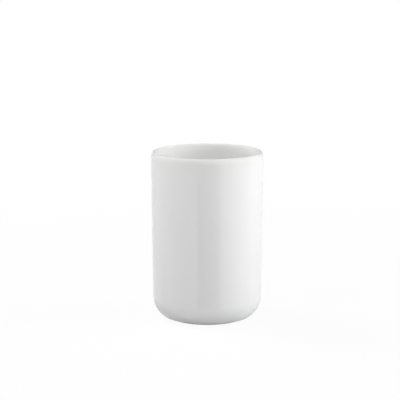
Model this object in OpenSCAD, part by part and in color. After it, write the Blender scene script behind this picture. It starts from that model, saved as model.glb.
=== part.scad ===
// Straight-sided bathroom tumbler in white glazed porcelain.
// It is fired as one vessel: a porcelain body, one coat of glaze over the outside, the lip and
// the inside, and a second patch of glaze in the hollow under the floor. Between the two coats
// the foot ring is bare, because a glazed foot would stick to the kiln shelf.
// +Z is up, the tumbler stands on z = 0 and is centred on the Z axis. Lengths are millimetres.

/* [Tumbler] */
// Largest diameter, at the lip
rim_d = 70; // [60:1:90]
// Height from the table to the top of the lip
height = 105; // [85:1:130]
// How far the wall leans in towards the foot, in degrees
draft = 0.6; // [0:0.1:1.5]

/* [Wall and floor] */
// Thickness of the wall, glaze included
wall = 3.4; // [2.6:0.1:4.6]
// Thickness of the floor above the hollow, glaze included
floor_t = 3.8; // [3:0.1:6]
// Radius of the outside corner between wall and foot
corner_r = 14.7; // [11:0.1:18]
// Radius of the inside corner between wall and floor
inner_corner_r = 12; // [7:0.5:15]

/* [Lip] */
// How far the crest of the lip lies inside the outside of the wall
lip_out_w = 1.7; // [1.2:0.1:2.2]
// Height over which the outside of the lip curves in to the crest
lip_out_h = 3.5; // [2.5:0.1:4.5]
// Height over which the inside of the lip curves down to the wall
lip_in_h = 5; // [3:0.1:7]

/* [Foot] */
// How far below the table the outside corner's arc would reach if the foot didn't cut it
foot_cut = 1.3; // [0.9:0.05:1.9]
// How far the bare foot draws in below the outside glaze
foot_bevel = 3.2; // [2:0.1:4]
// Width of the bare ring that the tumbler stands on
foot_w = 2.6; // [1.6:0.1:4]
// Height of the glazed hollow inside the foot ring
hollow_h = 1.6; // [1.2:0.1:2.4]

/* [Glaze] */
// Thickness of the fired glaze
glaze_t = 0.3; // [0.2:0.05:0.4]
// Height above the table at which both coats of glaze stop
glaze_line = 1.2; // [0.8:0.1:1.6]

/* [Hidden] */

$fn = 128;
// Straight steps in a quarter turn of an arc
arc_steps = 24;

rim_r = rim_d / 2;
floor_z = hollow_h + floor_t;

// Shifts a point outwards or inwards as the wall leans. The outside of the wall is as wide as
// the rim where the lip's outer curve starts.
function leaning(point) = point + [(point[1] - height + lip_out_h) * tan(draft), 0];

corner_z = corner_r - foot_cut;
corner_centre = leaning([rim_r - corner_r / cos(draft), corner_z]);
inner_centre = leaning([
    rim_r - wall - inner_corner_r / cos(draft),
    floor_z + inner_corner_r
]);

// The outside glaze stops on the corner's arc, this far below the horizontal through its centre.
glaze_angle = asin((corner_z - glaze_line) / corner_r);
bare_edge_r = corner_centre[0] + (corner_r - glaze_t) * cos(glaze_angle);

// The foot ring, and the centre of the quarter round at the side of the hollow inside it.
foot_r = bare_edge_r - foot_bevel;
hollow_centre = [foot_r - foot_w - hollow_h - glaze_t, 0];
hollow_angle = asin(glaze_line / (hollow_h + glaze_t));

// Points along an arc of an ellipse with these half axes, from one angle to another, both ends
// included.
function arc(centre, half, from, to) =
    let (steps = ceil(arc_steps * abs(to - from) / 90))
    [
        for (i = [0:steps])
            let (angle = from + (to - from) * i / steps)
            centre + [half[0] * cos(angle), half[1] * sin(angle)]
    ];

// Points along an arc of a circle.
function round_arc(centre, radius, from, to) = arc(centre, [radius, radius], from, to);

function reversed(points) = [for (i = [len(points) - 1:-1:0]) points[i]];

// The lip at a depth below its glazed skin, from the outside of the wall over the crest to the
// inside. It is a quarter of an ellipse on either side of the crest.
function lip(depth) =
    let (crest = rim_r - lip_out_w)
    let (outer = arc(
        [crest, height - lip_out_h],
        [lip_out_w - depth, lip_out_h - depth],
        0,
        90
    ))
    let (inner = arc(
        [crest, height - lip_in_h],
        [wall - lip_out_w - depth, lip_in_h - depth],
        90,
        180
    ))
    [
        for (point = outer) leaning(point),
        for (i = [1:len(inner) - 1]) leaning(inner[i])
    ];

// The vessel's surface at a depth below its glazed skin: from the outside glaze line up the
// wall, over the lip and down the inside to the middle of the floor.
function skin(depth) = concat(
    round_arc(corner_centre, corner_r - depth, -glaze_angle, -draft),
    lip(depth),
    round_arc(inner_centre, inner_corner_r + depth, -draft, -90),
    [[0, floor_z - depth]]
);

// The hollow's surface at a depth below its glazed skin, from the middle of its ceiling down
// its side to an angle above the table.
function hollow(depth, angle) = concat(
    [[0, hollow_h + depth]],
    round_arc(hollow_centre, hollow_h + depth, 90, angle)
);

// Fired porcelain before glazing, from the bare foot ring to the lip.
module porcelain_body() {
    color("gainsboro")
        rotate_extrude()
            polygon(concat(hollow(glaze_t, 0), [[foot_r, 0]], skin(glaze_t)));
}

// One coat of glaze over the outside, the lip and the whole inside.
module glaze_coat() {
    color("whitesmoke")
        rotate_extrude()
            polygon(concat(skin(0), reversed(skin(glaze_t))));
}

// The patch of glaze in the hollow under the floor, inside the bare ring.
module underside_glaze() {
    color("whitesmoke")
        rotate_extrude()
            polygon(concat(hollow(0, hollow_angle), reversed(hollow(glaze_t, hollow_angle))));
}

porcelain_body();
glaze_coat();
underside_glaze();
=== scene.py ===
"""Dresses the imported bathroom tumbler: a porcelain vessel, its two coats of glaze and its bare foot.

Every length is in metres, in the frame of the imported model: +Z up, standing on z = 0. A point of
the vessel's half section is a pair, its distance from the Z axis and its height.
"""

import logging
import math
from dataclasses import dataclass

import bmesh
import bpy
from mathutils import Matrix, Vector, noise


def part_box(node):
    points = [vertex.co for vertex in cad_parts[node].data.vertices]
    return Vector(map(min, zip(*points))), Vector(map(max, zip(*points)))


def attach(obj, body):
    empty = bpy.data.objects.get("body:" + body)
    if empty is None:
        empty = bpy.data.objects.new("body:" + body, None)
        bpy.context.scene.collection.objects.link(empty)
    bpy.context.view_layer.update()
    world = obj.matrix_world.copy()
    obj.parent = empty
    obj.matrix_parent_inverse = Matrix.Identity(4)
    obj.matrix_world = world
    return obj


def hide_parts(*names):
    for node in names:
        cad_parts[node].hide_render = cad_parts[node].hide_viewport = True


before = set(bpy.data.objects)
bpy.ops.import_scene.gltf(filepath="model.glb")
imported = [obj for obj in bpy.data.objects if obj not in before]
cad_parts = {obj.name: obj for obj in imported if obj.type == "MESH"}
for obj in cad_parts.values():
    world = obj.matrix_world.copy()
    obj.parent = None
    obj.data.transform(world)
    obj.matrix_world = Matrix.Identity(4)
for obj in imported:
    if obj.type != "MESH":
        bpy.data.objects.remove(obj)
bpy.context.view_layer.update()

MM = 0.001
LOG = logging.getLogger("tumbler")

# Names of the values that meshes carry for their materials.
GLAZE_DEPTH = "glaze_depth"
CARD_COVER = "card_cover"

# Sockets of a mix node that mixes colours: its two inputs and its result.
MIX_FIRST, MIX_SECOND, MIX_RESULT = 6, 7, 2

# Small rounds have this many times finer steps than the corners. Straight and unseen stretches
# have this many times coarser ones.
FINER = 3
STRAIGHT = 4
UNSEEN = 2

Point = tuple[float, float]
Outline = list[Point]
Colour = tuple[float, float, float, float]


def linear(hex_colour: str) -> Colour:
    """Turns an sRGB hex colour into the linear colour that a shader takes.

    Args:
        hex_colour: Six hex digits after a hash, such as "#ECECEA".

    Returns:
        Red, green, blue and an alpha of 1.
    """
    levels = [int(hex_colour[i : i + 2], 16) / 255 for i in (1, 3, 5)]
    red, green, blue = (v / 12.92 if v <= 0.04045 else ((v + 0.055) / 1.055) ** 2.4 for v in levels)
    return red, green, blue, 1.0


def add_node(tree: bpy.types.NodeTree, kind: str, settings: dict, inputs: dict) -> bpy.types.Node:
    """Adds a node to a tree, with its settings, its socket values and its incoming links.

    Args:
        tree: The node tree to add to.
        kind: Blender's name for the node's type.
        settings: Attributes of the node and the values that they get.
        inputs: Input sockets, by name or number. Each has a value, or the output socket that
            links into it.

    Returns:
        The new node.
    """
    node = tree.nodes.new(kind)
    for name, value in settings.items():
        setattr(node, name, value)
    for name, value in inputs.items():
        if isinstance(value, bpy.types.NodeSocket):
            tree.links.new(value, node.inputs[name])
        else:
            node.inputs[name].default_value = value
    return node


def object_place(tree: bpy.types.NodeTree) -> bpy.types.NodeSocket:
    """Gives the socket that holds where a point lies on its object, in metres."""
    return add_node(tree, "ShaderNodeTexCoord", {}, {}).outputs["Object"]


def maths(
    tree: bpy.types.NodeTree, operation: str, *values: float | bpy.types.NodeSocket
) -> bpy.types.NodeSocket:
    """Adds a sum.

    Args:
        tree: The node tree to add to.
        operation: Blender's name for the kind of sum.
        values: Two or three numbers or sockets, in order.

    Returns:
        The socket that holds the result.
    """
    settings = {"operation": operation}
    return add_node(tree, "ShaderNodeMath", settings, dict(enumerate(values))).outputs[0]


def mix_colours(
    tree: bpy.types.NodeTree,
    share: bpy.types.NodeSocket,
    first: Colour | bpy.types.NodeSocket,
    second: Colour | bpy.types.NodeSocket,
) -> bpy.types.NodeSocket:
    """Adds a mix of two colours.

    Args:
        tree: The node tree to add to.
        share: The second colour's share, from 0 to 1.
        first: The colour at a share of 0.
        second: The colour at a share of 1.

    Returns:
        The socket that holds the mixed colour.
    """
    inputs = {"Factor": share, MIX_FIRST: first, MIX_SECOND: second}
    return add_node(tree, "ShaderNodeMix", {"data_type": "RGBA"}, inputs).outputs[MIX_RESULT]


def climb(
    tree: bpy.types.NodeTree,
    value: bpy.types.NodeSocket,
    starts: Point,
    ends: Point,
    straight: bool = False,
) -> bpy.types.NodeSocket:
    """Adds a climb or fall from one value to another.

    Args:
        tree: The node tree to add to.
        value: The socket that it follows.
        starts: Where it starts, and its value there.
        ends: Where it ends, and its value there.
        straight: Whether it climbs evenly, and not smoothly at both ends.

    Returns:
        The socket that holds the result.
    """
    inputs = {"Value": value, "From Min": starts[0], "From Max": ends[0]}
    inputs |= {"To Min": starts[1], "To Max": ends[1]}
    settings = {"interpolation_type": "LINEAR" if straight else "SMOOTHSTEP"}
    return add_node(tree, "ShaderNodeMapRange", settings, inputs).outputs["Result"]


def clouds(
    tree: bpy.types.NodeTree, place: bpy.types.NodeSocket, length: float, detail: float
) -> bpy.types.NodeSocket:
    """Adds soft, irregular patches.

    Args:
        tree: The node tree to add to.
        place: The socket that holds where a point lies.
        length: The size of a patch.
        detail: How many finer layers lie on the patches.

    Returns:
        The socket that holds their height, from 0 to 1.
    """
    inputs = {"Vector": place, "Scale": 1 / length, "Detail": detail}
    return add_node(tree, "ShaderNodeTexNoise", {}, inputs).outputs["Fac"]


def relief(
    tree: bpy.types.NodeTree,
    height: bpy.types.NodeSocket,
    depth: float,
    under: bpy.types.NodeSocket | None = None,
) -> bpy.types.NodeSocket:
    """Adds a relief too fine for the mesh.

    Args:
        tree: The node tree to add to.
        height: The socket that holds the relief's height, from 0 to 1.
        depth: How deep it is at a height of 1.
        under: The coarser relief that it lies on, if there is one.

    Returns:
        The socket that holds the surface's direction.
    """
    inputs = {"Height": height, "Distance": depth}
    if under is not None:
        inputs["Normal"] = under
    return add_node(tree, "ShaderNodeBump", {}, inputs).outputs["Normal"]


def bare_material(name: str) -> bpy.types.Material:
    """Makes a material whose node tree is still empty.

    Args:
        name: The material's name.

    Returns:
        The material.
    """
    material = bpy.data.materials.new(name)
    material.use_nodes = True
    material.node_tree.nodes.clear()
    return material


def arc(centre: Point, radii: Point, start: float, end: float, step: float) -> Outline:
    """Lists points along an arc of a circle or an upright ellipse, both ends included.

    Args:
        centre: The arc's centre.
        radii: Its half width and its half height, which are the same for a circle.
        start: The angle at which it starts, in radians above the horizontal.
        end: The angle at which it ends.
        step: The longest distance between two points.

    Returns:
        The points in order.
    """
    count = max(2, math.ceil(abs(end - start) * max(radii) / step))
    angles = [start + (end - start) * i / count for i in range(count + 1)]
    return [(centre[0] + radii[0] * math.cos(a), centre[1] + radii[1] * math.sin(a)) for a in angles]


def circle_arc(centre: Point, radius: float, start: float, end: float, step: float) -> Outline:
    """Lists points along an arc of a circle, as arc does."""
    return arc(centre, (radius, radius), start, end, step)


def filled(outline: Outline, step: float) -> Outline:
    """Adds points wherever two neighbours on an outline are further apart than a step.

    Args:
        outline: The points of the outline.
        step: The longest distance that may stay between two points.

    Returns:
        The outline with the points that were added.
    """
    points = [outline[0]]
    for (r0, z0), (r1, z1) in zip(outline, outline[1:]):
        count = max(1, math.ceil(math.dist((r0, z0), (r1, z1)) / step))
        shares = [i / count for i in range(1, count + 1)]
        points += [(r0 + (r1 - r0) * share, z0 + (z1 - z0) * share) for share in shares]
    return points


@dataclass(frozen=True)
class VesselSection:
    """The vessel's half section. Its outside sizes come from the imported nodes."""

    rim_radius: float
    height: float
    glaze: float
    glaze_line: float
    hollow: float
    hollow_radius: float
    lean: float = math.radians(0.6)
    wall: float = 3.4 * MM
    lip_outside: Point = (1.7 * MM, 3.5 * MM)
    lip_inside_height: float = 5 * MM
    floor: float = 5.4 * MM
    corner: float = 14.7 * MM
    foot_cut: float = 1.3 * MM
    foot_bevel: float = 3.2 * MM
    inner_corner: float = 12 * MM

    @classmethod
    def from_frame(cls) -> "VesselSection":
        """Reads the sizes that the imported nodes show.

        Returns:
            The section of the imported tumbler.
        """
        coat_low, coat_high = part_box("glaze_coat")
        patch_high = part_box("underside_glaze")[1]
        glaze = coat_high.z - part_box("porcelain_body")[1].z
        return cls(
            rim_radius=coat_high.x,
            height=coat_high.z,
            glaze=glaze,
            glaze_line=coat_low.z,
            hollow=patch_high.z - glaze,
            hollow_radius=patch_high.x,
        )

    def leaning(self, r: float, z: float) -> Point:
        """Shifts a point outwards or inwards as the wall leans, from where the lip's outside ends."""
        return r + (z - self.height + self.lip_outside[1]) * math.tan(self.lean), z

    @property
    def corner_centre(self) -> Point:
        """The centre of the outside corner."""
        reach = self.rim_radius - self.corner / math.cos(self.lean)
        return self.leaning(reach, self.corner - self.foot_cut)

    @property
    def inner_centre(self) -> Point:
        """The centre of the inside corner."""
        reach = self.rim_radius - self.wall - self.inner_corner / math.cos(self.lean)
        return self.leaning(reach, self.floor + self.inner_corner)

    @property
    def glaze_angle(self) -> float:
        """How far below the horizontal the coat stops on the outside corner."""
        return math.asin((self.corner_centre[1] - self.glaze_line) / self.corner)

    @property
    def foot_radius(self) -> float:
        """The outside radius of the ring that stands on the table."""
        bare = self.corner - self.glaze
        return self.corner_centre[0] + bare * math.cos(self.glaze_angle) - self.foot_bevel

    @property
    def hollow_angle(self) -> float:
        """How far above the table the patch stops on the hollow's side."""
        return math.asin(self.glaze_line / (self.hollow + self.glaze))

    @property
    def hollow_centre(self) -> Point:
        """The centre of the quarter round at the side of the hollow."""
        reach = (self.hollow + self.glaze) * math.cos(self.hollow_angle)
        return self.hollow_radius - reach, 0.0

    def lip(self, depth: float, step: float) -> Outline:
        """Follows the lip from its outside over its crest to its inside.

        Args:
            depth: How far below the glazed surface the outline runs.
            step: The longest distance between two points.

        Returns:
            The outline.
        """
        across, down = self.lip_outside
        inside = self.wall - across, self.lip_inside_height
        crest = self.rim_radius - across
        outer = (crest, self.height - down), (across - depth, down - depth)
        inner = (crest, self.height - inside[1]), (inside[0] - depth, inside[1] - depth)
        points = arc(*outer, 0, math.pi / 2, step) + arc(*inner, math.pi / 2, math.pi, step)[1:]
        return [self.leaning(r, z) for r, z in points]

    def skin(self, depth: float, angle: float, step: float) -> Outline:
        """Follows the surface up the outside, over the lip and down to the middle of the floor.

        Args:
            depth: How far below the glazed surface the outline runs.
            angle: Where on the outside corner it starts, in radians below the horizontal.
            step: The longest distance between two points on the corners.

        Returns:
            The outline.
        """
        lip = self.lip(depth, step / FINER)
        outer = circle_arc(self.corner_centre, self.corner - depth, -angle, -self.lean, step)
        rounded = self.inner_corner + depth
        inner = circle_arc(self.inner_centre, rounded, -self.lean, -math.pi / 2, step)
        return filled(outer + lip + inner + [(0.0, self.floor - depth)], STRAIGHT * step)


@dataclass(frozen=True)
class OpaqueWhiteGlaze:
    """Opaque white glaze, a glass fired onto the porcelain.

    To the eye it is an even, neutral white under a hard, clean gloss. It turns a little warmer
    where it ran thin, on the lip, and a little cooler where it pooled. Its surface lies in faint
    waves, as glass does that ran, with a fine peel on them and a few tiny pinholes.
    """

    name: str = "opaque_white_glaze"
    colour: str = "#F3F3F3"
    thin: str = "#F2F1EF"
    pooled: str = "#F1F2F3"
    pinhole: str = "#CFCBC3"
    thin_depth: float = 0.1
    even_depth: float = 0.5
    pooled_depth: float = 1.0
    cloud_depth: float = 0.1
    ior: float = 1.56
    polished: float = 0.025
    dulled: float = 0.045
    detail: float = 1.0
    cloud_length: float = 30 * MM
    wave_length: float = 9 * MM
    wave_height: float = 0.006 * MM
    peel_length: float = 1.6 * MM
    peel_height: float = 0.0005 * MM
    pinhole_gap: float = 9 * MM
    pinhole_radius: float = 0.15 * MM

    def tint(
        self, tree: bpy.types.NodeTree, place: bpy.types.NodeSocket, cloud: bpy.types.NodeSocket
    ) -> bpy.types.NodeSocket:
        """Adds the glaze's colour, which follows its depth, and its pinholes.

        Args:
            tree: The node tree to add to.
            place: The socket that holds where a point lies.
            cloud: The socket that holds the clouds in the glaze.

        Returns:
            The socket that holds the colour.
        """
        attribute = {"attribute_name": GLAZE_DEPTH}
        depth = add_node(tree, "ShaderNodeAttribute", attribute, {}).outputs["Fac"]
        shade = maths(tree, "MULTIPLY_ADD", cloud, self.cloud_depth, depth)
        ramp = add_node(tree, "ShaderNodeValToRGB", {}, {"Fac": shade})
        low, high = ramp.color_ramp.elements
        low.position, low.color = self.thin_depth, linear(self.thin)
        high.position, high.color = self.pooled_depth, linear(self.pooled)
        ramp.color_ramp.elements.new(self.even_depth).color = linear(self.colour)
        cells = {"Vector": place, "Scale": 1 / self.pinhole_gap}
        middle = add_node(tree, "ShaderNodeTexVoronoi", {}, cells).outputs["Distance"]
        rim = self.pinhole_radius / self.pinhole_gap
        spot = climb(tree, middle, (rim, 0.0), (rim / 2, 1.0), straight=True)
        return mix_colours(tree, spot, ramp.outputs["Color"], linear(self.pinhole))

    def material(self) -> bpy.types.Material:
        """Builds the glaze.

        Returns:
            The material.
        """
        material = bare_material(self.name)
        tree = material.node_tree
        place = object_place(tree)
        cloud = clouds(tree, place, self.cloud_length, self.detail)
        waves = clouds(tree, place, self.wave_length, self.detail)
        peel = clouds(tree, place, self.peel_length, self.detail)
        polish = climb(tree, cloud, (0.0, self.polished), (1.0, self.dulled), straight=True)
        wavy = relief(tree, waves, self.wave_height)
        inputs = {
            "Base Color": self.tint(tree, place, cloud),
            "Roughness": polish,
            "IOR": self.ior,
            "Normal": relief(tree, peel, self.peel_height, wavy),
        }
        surface = add_node(tree, "ShaderNodeBsdfPrincipled", {}, inputs).outputs["BSDF"]
        add_node(tree, "ShaderNodeOutputMaterial", {}, {"Surface": surface})
        return material


@dataclass(frozen=True)
class GroundPorcelain:
    """Bare fired porcelain, ground flat on a wheel after firing.

    To the eye it is matt, chalky and a little warmer than the glaze, with a fine grain, rings
    from the grinding and a grey rub where it stands on the shelf.
    """

    name: str = "ground_porcelain"
    colour: str = "#DDD9D1"
    grain: str = "#CFC9BE"
    rubbed: str = "#BDB9B2"
    ior: float = 1.5
    smooth: float = 0.55
    chalky: float = 0.75
    grain_length: float = 0.5 * MM
    grain_height: float = 0.01 * MM
    grain_detail: float = 3.0
    ring_gap: float = 0.45 * MM
    ring_height: float = 0.006 * MM
    ring_wobble: float = 1.5
    wobble_detail: float = 0.3
    rub_height: float = 0.12 * MM
    rub_share: float = 0.6

    def material(self) -> bpy.types.Material:
        """Builds the bare porcelain.

        Returns:
            The material.
        """
        material = bare_material(self.name)
        tree = material.node_tree
        place = object_place(tree)
        grain = clouds(tree, place, self.grain_length, self.grain_detail)
        # At a scale of 1 the texture's rings lie pi / 10 of a metre apart.
        rings = add_node(
            tree,
            "ShaderNodeTexWave",
            {"wave_type": "RINGS", "rings_direction": "Z"},
            {
                "Vector": place,
                "Scale": math.pi / 10 / self.ring_gap,
                "Distortion": self.ring_wobble,
                "Detail Scale": self.wobble_detail,
            },
        ).outputs["Fac"]
        height = add_node(tree, "ShaderNodeSeparateXYZ", {}, {0: place}).outputs["Z"]
        rub = climb(tree, height, (self.rub_height, 0.0), (0.0, self.rub_share))
        grained = mix_colours(tree, grain, linear(self.colour), linear(self.grain))
        streaks = maths(tree, "MULTIPLY", rub, rings)
        ringed = relief(tree, rings, self.ring_height)
        inputs = {
            "Base Color": mix_colours(tree, streaks, grained, linear(self.rubbed)),
            "Roughness": climb(tree, grain, (0.0, self.smooth), (1.0, self.chalky), straight=True),
            "IOR": self.ior,
            "Normal": relief(tree, grain, self.grain_height, ringed),
        }
        surface = add_node(tree, "ShaderNodeBsdfPrincipled", {}, inputs).outputs["BSDF"]
        add_node(tree, "ShaderNodeOutputMaterial", {}, {"Surface": surface})
        return material


@dataclass
class TurnedPiece:
    """A piece turned about the Z axis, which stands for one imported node."""

    section: VesselSection
    finish: OpaqueWhiteGlaze | GroundPorcelain
    name: str = ""
    node: str = ""
    slot: str = ""
    sides: int = 192
    step: float = 0.6 * MM
    even_depth: float = 0.45

    def outline(self) -> Outline:
        """Lists the points that are turned about the axis."""
        raise NotImplementedError

    def settled(self, point: Point, turn: float) -> Point:
        """Says where a point of the outline lies at an angle round the axis."""
        return point

    def glaze_depth(self, point: Point) -> float:
        """Says how thick glaze lies at a point, from 0, thin, to 1, pooled."""
        return self.even_depth

    def mesh(self) -> bpy.types.Mesh:
        """Turns the outline into a closed mesh, with a fan of triangles where it meets the axis.

        Returns:
            The mesh, smooth and with its faces outwards.
        """
        points, depths, rings = [], [], []
        turns = [math.tau * i / self.sides for i in range(self.sides)]
        for point in self.outline():
            ring_turns = turns if point[0] > 0 else turns[:1]
            rings.append(range(len(points), len(points) + len(ring_turns)))
            for turn in ring_turns:
                r, z = self.settled(point, turn)
                points.append((r * math.cos(turn), r * math.sin(turn), z))
            depths += [self.glaze_depth(point)] * len(ring_turns)
        faces = []
        for low, high in zip(rings, [*rings[1:], rings[0]]):
            if len(low) == len(high) == 1:
                continue
            for i in range(self.sides):
                j = (i + 1) % self.sides
                ends = [ring[k % len(ring)] for ring, k in ((low, i), (low, j), (high, j), (high, i))]
                faces.append(list(dict.fromkeys(ends)))
        mesh = bpy.data.meshes.new(self.name)
        mesh.from_pydata(points, [], faces)
        mesh.attributes.new(GLAZE_DEPTH, "FLOAT", "POINT").data.foreach_set("value", depths)
        mesh.shade_smooth()
        solid = bmesh.new()
        solid.from_mesh(mesh)
        bmesh.ops.recalc_face_normals(solid, faces=solid.faces)
        solid.to_mesh(mesh)
        solid.free()
        return mesh

    def build(self) -> bpy.types.Object:
        """Makes the piece, dresses it and puts it in its node's place.

        Returns:
            The piece.
        """
        piece = bpy.data.objects.new(self.name, self.mesh())
        bpy.context.scene.collection.objects.link(piece)
        piece.data.materials.append(self.finish.material())
        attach(piece, "root")
        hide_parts(self.node)
        return piece


@dataclass
class GlazePiece(TurnedPiece):
    """A piece of glaze whose lower edge wanders a little up and down round the foot.

    The wander adds a slow run and a quick one. Both are drawn round a circle in a field of noise,
    and the circle's radius says how quickly each runs.
    """

    slot: str = "glaze"
    wander: float = 0.18 * MM
    reach: float = 2.5 * MM
    slow_run: float = 1.4
    quick_run: float = 5.0
    quick_share: float = 0.5

    def edge(self) -> tuple[Point, float, float]:
        """Gives the centre and radius of the arc that the edge lies on, and the edge's angle."""
        raise NotImplementedError

    def rolled(self, inward: float, outward: float) -> Outline:
        """Rounds the edge, where the melted glaze drew back into a bead.

        Args:
            inward: The angle at which the bead leaves the porcelain.
            outward: The angle at which it runs into the open surface.

        Returns:
            The points of the bead, without its ends.
        """
        (r, z), radius, angle = self.edge()
        bead = self.section.glaze / 2
        centre = r + radius * math.cos(angle), z + radius * math.sin(angle)
        return circle_arc(centre, bead, inward, outward, bead / FINER)[1:-1]

    def settled(self, point: Point, turn: float) -> Point:
        """Says where a point lies at an angle round the axis, once the glaze has run.

        Args:
            point: The point of the outline.
            turn: The angle round the axis, in radians.

        Returns:
            The point, moved along the edge's arc if it is near the edge.
        """
        (r, z), radius, angle = self.edge()
        across, up = point[0] - r, point[1] - z
        if across <= 0 or abs(math.hypot(across, up) - radius) > self.section.glaze:
            return point
        here = math.atan2(up, across)
        fade = max(0.0, 1 - abs(here - angle) * radius / self.reach)
        way = Vector((math.cos(turn), math.sin(turn), 0.0))
        run = noise.noise(way * self.slow_run) + self.quick_share * noise.noise(way * self.quick_run)
        here += math.copysign(self.wander, -angle) * run * fade * fade * (3 - 2 * fade) / radius
        distance = math.hypot(across, up)
        return r + distance * math.cos(here), z + distance * math.sin(here)


@dataclass
class GlazeCoat(GlazePiece):
    """The coat over the outside, the lip and the inside, down to just above the foot."""

    name: str = "white_glaze"
    node: str = "glaze_coat"
    lip_depth: float = 0.15
    thickening: float = 0.3
    thin_heights: float = 3.0
    pooling: float = 0.45
    pool_inset: float = 8 * MM

    def edge(self) -> tuple[Point, float, float]:
        """Gives the outside corner's arc, halfway through the glaze.

        Returns:
            The arc's centre and radius, and the angle at which the bead's middle lies.
        """
        radius = self.section.corner - self.section.glaze / 2
        drawn_back = self.section.glaze / 2 / self.section.corner
        return self.section.corner_centre, radius, drawn_back - self.section.glaze_angle

    def outline(self) -> Outline:
        """Follows the bead, the open surface and, underneath it, the porcelain.

        Returns:
            The closed outline.
        """
        section, angle = self.section, self.edge()[2]
        outer = section.skin(0.0, -angle, self.step)
        under = section.skin(section.glaze, -angle, UNSEEN * self.step)
        return self.rolled(angle - math.pi, angle) + outer + under[::-1]

    def glaze_depth(self, point: Point) -> float:
        """Says that the glaze is thin over the lip and pooled in the corner of the floor.

        Args:
            point: The point of the outline.

        Returns:
            The glaze's depth there, from 0, thin, to 1, pooled.
        """
        section = self.section
        below_lip = (section.height - point[1]) / (self.thin_heights * section.lip_outside[1])
        depth = self.lip_depth + self.thickening * min(1.0, below_lip)
        pool = section.inner_centre[0] + self.pool_inset, section.floor
        return depth + self.pooling * max(0.0, 1 - math.dist(point, pool) / section.inner_corner)


@dataclass
class UndersideGlaze(GlazePiece):
    """The patch of glaze in the hollow under the floor."""

    name: str = "underside_white_glaze"
    node: str = "underside_glaze"
    middle_depth: float = 0.4
    thickening: float = 0.3

    def edge(self) -> tuple[Point, float, float]:
        """Gives the arc at the side of the hollow, halfway through the glaze.

        Returns:
            The arc's centre and radius, and the angle at which the bead's middle lies.
        """
        radius = self.section.hollow + self.section.glaze / 2
        drawn_back = self.section.glaze / 2 / radius
        return self.section.hollow_centre, radius, self.section.hollow_angle + drawn_back

    def outline(self) -> Outline:
        """Follows the glazed ceiling, the side with its bead and, above it, the porcelain.

        Returns:
            The closed outline.
        """
        section, step = self.section, self.step / FINER
        centre, _, angle = self.edge()
        back = section.hollow + section.glaze
        shown = circle_arc(centre, section.hollow, math.pi / 2, angle, step)
        hidden = circle_arc(centre, back, angle, math.pi / 2, step)
        bead = self.rolled(angle + math.pi, angle + math.tau)
        ends = (0.0, section.hollow), (0.0, back)
        return filled([ends[0], *shown, *bead, *hidden, ends[1]], STRAIGHT * self.step)

    def glaze_depth(self, point: Point) -> float:
        """Says that the glaze is thicker at the side of the hollow."""
        return self.middle_depth + self.thickening * min(1.0, point[0] / self.section.hollow_radius)


@dataclass
class PorcelainBody(TurnedPiece):
    """The fired porcelain under the glaze, which shows at the ground foot ring."""

    name: str = "porcelain_vessel"
    node: str = "porcelain_body"
    slot: str = "bare_porcelain"
    eased: float = 0.2 * MM

    def outline(self) -> Outline:
        """Follows the hollow, the foot ring with its eased edges and the surface under the glaze.

        Returns:
            The closed outline.
        """
        section, eased, step = self.section, self.eased, self.step / FINER
        side = section.hollow + section.glaze
        start = math.asin(eased / (side + eased))
        ring_inside = (section.hollow_centre[0] + (side + eased) * math.cos(start), eased)
        skin = section.skin(section.glaze, section.glaze_angle, UNSEEN * self.step)
        slope = math.atan2(skin[0][1], section.foot_bevel)
        ring_outside = (section.foot_radius - eased * math.tan(slope / 2), eased)
        hollow = circle_arc(section.hollow_centre, side, math.pi / 2, start, step)
        inner_edge = circle_arc(ring_inside, eased, math.pi + start, math.pi * 3 / 2, eased / FINER)
        outer_edge = circle_arc(ring_outside, eased, -math.pi / 2, slope - math.pi / 2, eased / FINER)
        points = [(0.0, side), *hollow, *inner_edge[1:], *outer_edge, *skin]
        return filled(points, UNSEEN * self.step)


def away(azimuth: float, elevation: float) -> Vector:
    """Points from the tumbler to a place in the studio.

    Args:
        azimuth: Degrees round from the camera, positive to the camera's right.
        elevation: Degrees above the horizon.

    Returns:
        The direction, one metre long.
    """
    turn, rise = math.radians(azimuth), math.radians(elevation)
    return Vector((math.sin(turn) * math.cos(rise), -math.cos(turn) * math.cos(rise), math.sin(rise)))


def ray_kinds(tree: bpy.types.NodeTree) -> tuple[bpy.types.NodeSocket, bpy.types.NodeSocket]:
    """Tells two kinds of ray, each 1 or 0, from all others.

    Args:
        tree: The node tree to add the test to.

    Returns:
        The sockets for the camera's rays and for clear reflections and refractions.
    """
    rays = add_node(tree, "ShaderNodeLightPath", {}, {}).outputs
    mirrored = maths(tree, "MAXIMUM", rays["Is Glossy Ray"], rays["Is Transmission Ray"])
    return rays["Is Camera Ray"], mirrored


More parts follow.
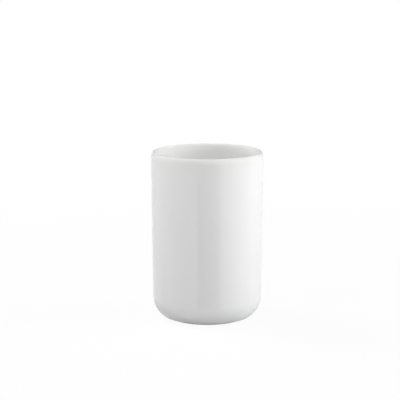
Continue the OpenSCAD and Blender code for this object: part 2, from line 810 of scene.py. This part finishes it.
@dataclass(frozen=True)
class StudioFloor:
    """A matt white floor, lit by the lamps near the tumbler and paper white further off.

    Its colour for the tumbler's matt side is a painted shade: darker close to the foot, standing in
    for the soft shadow there, so it gives less light back to the tumbler. Each pair is a distance from
    the tumbler's axis and the share or level there.
    """

    name: str = "studio_floor"
    half_size: float = 6.0
    drop: float = 0.02 * MM
    paper: str = "#F8F8F8"
    seen_near: Point = (0.15, 0.92)
    seen_far: Point = (0.5, 1.0)
    mirrored_near: Point = (0.025, 0.6)
    mirrored_far: Point = (0.25, 1.0)
    mirrored_white: float = 0.88
    # Painted shade: the bounce colour is darker close to the foot, standing in for the soft shadow
    # there.
    bounce_painted_shade_near: Point = (0.03, 0.6)
    bounce_far: Point = (0.45, 0.88)

    def material(self) -> bpy.types.Material:
        """Builds the floor's white.

        Returns:
            The material. The camera and reflections see paper white, more of it further off, and
            the tumbler's matt side gets the bounce, whose colour is a painted shade, darker near the
            foot.
        """
        material = bare_material(self.name)
        tree = material.node_tree
        camera, mirrored = ray_kinds(tree)
        settings = {"operation": "LENGTH"}
        place = object_place(tree)
        reach = add_node(tree, "ShaderNodeVectorMath", settings, {0: place}).outputs["Value"]
        # Painted shade: the colour that the tumbler's matt side sees is darker close to the foot.
        bounce = climb(tree, reach, self.bounce_painted_shade_near, self.bounce_far)
        seen = maths(tree, "MULTIPLY", camera, climb(tree, reach, self.seen_near, self.seen_far))
        shown = climb(tree, reach, self.mirrored_near, self.mirrored_far)
        fill = maths(tree, "MULTIPLY_ADD", mirrored, shown, seen)
        level = maths(tree, "MULTIPLY_ADD", mirrored, self.mirrored_white, camera)
        sight = maths(tree, "ADD", camera, mirrored)
        colour = mix_colours(tree, sight, bounce, linear(self.paper))
        matt = add_node(tree, "ShaderNodeBsdfDiffuse", {}, {"Color": colour}).outputs[0]
        glow = add_node(tree, "ShaderNodeEmission", {}, {"Strength": level}).outputs[0]
        mixed = add_node(tree, "ShaderNodeMixShader", {}, {0: fill, 1: matt, 2: glow}).outputs[0]
        add_node(tree, "ShaderNodeOutputMaterial", {}, {"Surface": mixed})
        return material

    def build(self) -> bpy.types.Object:
        """Lays the floor a hair below the tumbler's foot.

        Returns:
            The floor.
        """
        s, z = self.half_size, -self.drop
        mesh = bpy.data.meshes.new(self.name)
        mesh.from_pydata([(-s, -s, z), (s, -s, z), (s, s, z), (-s, s, z)], [], [(0, 1, 2, 3)])
        mesh.materials.append(self.material())
        floor = bpy.data.objects.new(self.name, mesh)
        bpy.context.scene.collection.objects.link(floor)
        return floor


@dataclass(frozen=True)
class ReflectedCard:
    """A darker part of the studio that shows only as a reflection in the glaze.

    It lies on the floor as a fan of strips between two starts, each with its azimuth, and thins
    out over the last strips.
    """

    name: str
    starts: tuple[Point, Point]
    azimuths: Point
    level: float
    fade: float
    strips: int = 20
    length: float = 5.0
    height: float = 1 * MM

    def material(self) -> bpy.types.Material:
        """Builds the card's even shade, which is as strong as its cover.

        Returns:
            The material.
        """
        material = bare_material(self.name)
        tree = material.node_tree
        settings = {"attribute_name": CARD_COVER}
        cover = add_node(tree, "ShaderNodeAttribute", settings, {}).outputs["Fac"]
        clear = add_node(tree, "ShaderNodeBsdfTransparent", {}, {}).outputs[0]
        shade = add_node(tree, "ShaderNodeEmission", {}, {"Strength": self.level}).outputs[0]
        mixed = add_node(tree, "ShaderNodeMixShader", {}, {0: cover, 1: clear, 2: shade}).outputs[0]
        add_node(tree, "ShaderNodeOutputMaterial", {}, {"Surface": mixed})
        return material

    def build(self) -> bpy.types.Object:
        """Lays the card just above the floor.

        Returns:
            The card.
        """
        points = []
        for i in range(self.strips + 1):
            share = i / self.strips
            x, y = (a + (b - a) * share for a, b in zip(*self.starts))
            azimuth = self.azimuths[0] + (self.azimuths[1] - self.azimuths[0]) * share
            far = away(azimuth, 0.0) * self.length
            points += [(x, y, self.height), (x + far.x, y + far.y, self.height)]
        faces = [(i, i + 1, i + 3, i + 2) for i in range(0, 2 * self.strips, 2)]
        left = [1 - (i + 0.5) / self.strips for i in range(self.strips)]
        covers = [min(1.0, share / self.fade) for share in left]
        mesh = bpy.data.meshes.new(self.name)
        mesh.from_pydata(points, [], faces)
        mesh.attributes.new(CARD_COVER, "FLOAT", "FACE").data.foreach_set("value", covers)
        mesh.materials.append(self.material())
        card = bpy.data.objects.new(self.name, mesh)
        card.visible_camera = card.visible_diffuse = card.visible_shadow = False
        bpy.context.scene.collection.objects.link(card)
        return card


@dataclass(frozen=True)
class StudioTent:
    """The white cloth all round, which reflections show even, and darker only behind the tumbler.

    Both pairs are how far a direction points backwards, from -1 to 1, and the cloth's level there.
    """

    seen: float = 1.0
    cloth: Point = (0.5, 1.0)
    behind: Point = (0.8, 0.6)

    def build(self) -> bpy.types.World:
        """Makes the world.

        Returns:
            The world, which is the scene's from then on.
        """
        world = bpy.data.worlds.new("studio_tent")
        world.use_nodes = True
        tree = world.node_tree
        tree.nodes.clear()
        camera, mirrored = ray_kinds(tree)
        way = add_node(tree, "ShaderNodeTexCoord", {}, {}).outputs["Generated"]
        back = add_node(tree, "ShaderNodeSeparateXYZ", {}, {0: way}).outputs["Y"]
        reflected = maths(tree, "MULTIPLY", mirrored, climb(tree, back, self.cloth, self.behind))
        strength = maths(tree, "MULTIPLY_ADD", camera, self.seen, reflected)
        air = add_node(tree, "ShaderNodeBackground", {}, {"Strength": strength}).outputs[0]
        add_node(tree, "ShaderNodeOutputWorld", {}, {"Surface": air})
        bpy.context.scene.world = world
        return world


@dataclass(frozen=True)
class Softbox:
    """A flat, evenly lit lamp that faces the tumbler from behind the cloth, which hides it."""

    name: str
    azimuth: float
    elevation: float
    power: float
    width: float = 1.0
    height: float = 0.7
    distance: float = 1.5
    aim: float = 50 * MM

    def build(self) -> bpy.types.Object:
        """Hangs the lamp.

        Returns:
            The lamp.
        """
        direction = away(self.azimuth, self.elevation)
        data = bpy.data.lights.new(self.name, "AREA")
        data.shape = "RECTANGLE"
        data.size, data.size_y, data.energy = self.width, self.height, self.power
        lamp = bpy.data.objects.new(self.name, data)
        lamp.location = Vector((0.0, 0.0, self.aim)) + direction * self.distance
        lamp.rotation_mode = "QUATERNION"
        lamp.rotation_quaternion = direction.to_track_quat("Z", "Y")
        lamp.visible_camera = lamp.visible_glossy = False
        bpy.context.scene.collection.objects.link(lamp)
        return lamp


@dataclass(frozen=True)
class PhotoCamera:
    """The camera of the photograph, worked out from the tumbler's outline in it."""

    frame_px: float = 400.0
    focal_px: float = 1598.55
    axis_px: float = 207.2
    distance: float = 1.0
    elevation: float = math.radians(10.284)
    aim: float = 74.14 * MM
    sensor: float = 36.0

    def build(self) -> bpy.types.Object:
        """Places the camera level with its aim, a little to the side as the framing has it.

        Returns:
            The camera, which is the scene's from then on.
        """
        data = bpy.data.cameras.new("camera")
        data.sensor_width = self.sensor
        data.lens = self.focal_px / self.frame_px * self.sensor
        camera = bpy.data.objects.new("camera", data)
        back = Vector((0.0, -math.cos(self.elevation), math.sin(self.elevation)))
        side = (self.frame_px / 2 - self.axis_px) / self.focal_px * self.distance
        camera.location = Vector((side, 0.0, self.aim)) + back * self.distance
        camera.rotation_mode = "QUATERNION"
        camera.rotation_quaternion = back.to_track_quat("Z", "Y")
        bpy.context.scene.collection.objects.link(camera)
        bpy.context.scene.camera = camera
        return camera


# The dark stripe down the wall is this card's reflection.
GAP_IN_FRONT = ReflectedCard(
    "gap_in_front",
    starts=((-20.0 * MM, -69.9 * MM), (27.1 * MM, -67.1 * MM)),
    azimuths=(-21.0, 29.0),
    level=0.05,
    fade=0.12,
)
SOFTBOXES = (
    Softbox("left_back", azimuth=-120, elevation=45, power=12.0, width=0.82),
    Softbox("left", azimuth=-60, elevation=45, power=6.5, width=0.82),
    Softbox("overhead", azimuth=0, elevation=85, power=2.0, width=0.26),
    Softbox("front", azimuth=0, elevation=22, power=5.1),
    Softbox("front_right", azimuth=60, elevation=25, power=3.0),
    Softbox("right", azimuth=90, elevation=25, power=7.9),
    Softbox("right_low", azimuth=90, elevation=8, power=8.8),
)


def main() -> None:
    """Builds the tumbler and the studio round it."""
    logging.basicConfig(level=logging.INFO, format="%(name)s: %(message)s")
    section = VesselSection.from_frame()
    glaze = OpaqueWhiteGlaze()
    for piece in (
        PorcelainBody(section, GroundPorcelain()),
        GlazeCoat(section, glaze),
        UndersideGlaze(section, glaze),
    ):
        faces = len(piece.build().data.polygons)
        LOG.info("%s: %d faces, stands for %s", piece.name, faces, piece.node)
    for part in (StudioFloor(), GAP_IN_FRONT, StudioTent(), *SOFTBOXES, PhotoCamera()):
        part.build()
    bpy.context.scene.view_settings.view_transform = "Standard"


if __name__ == "__main__":
    main()
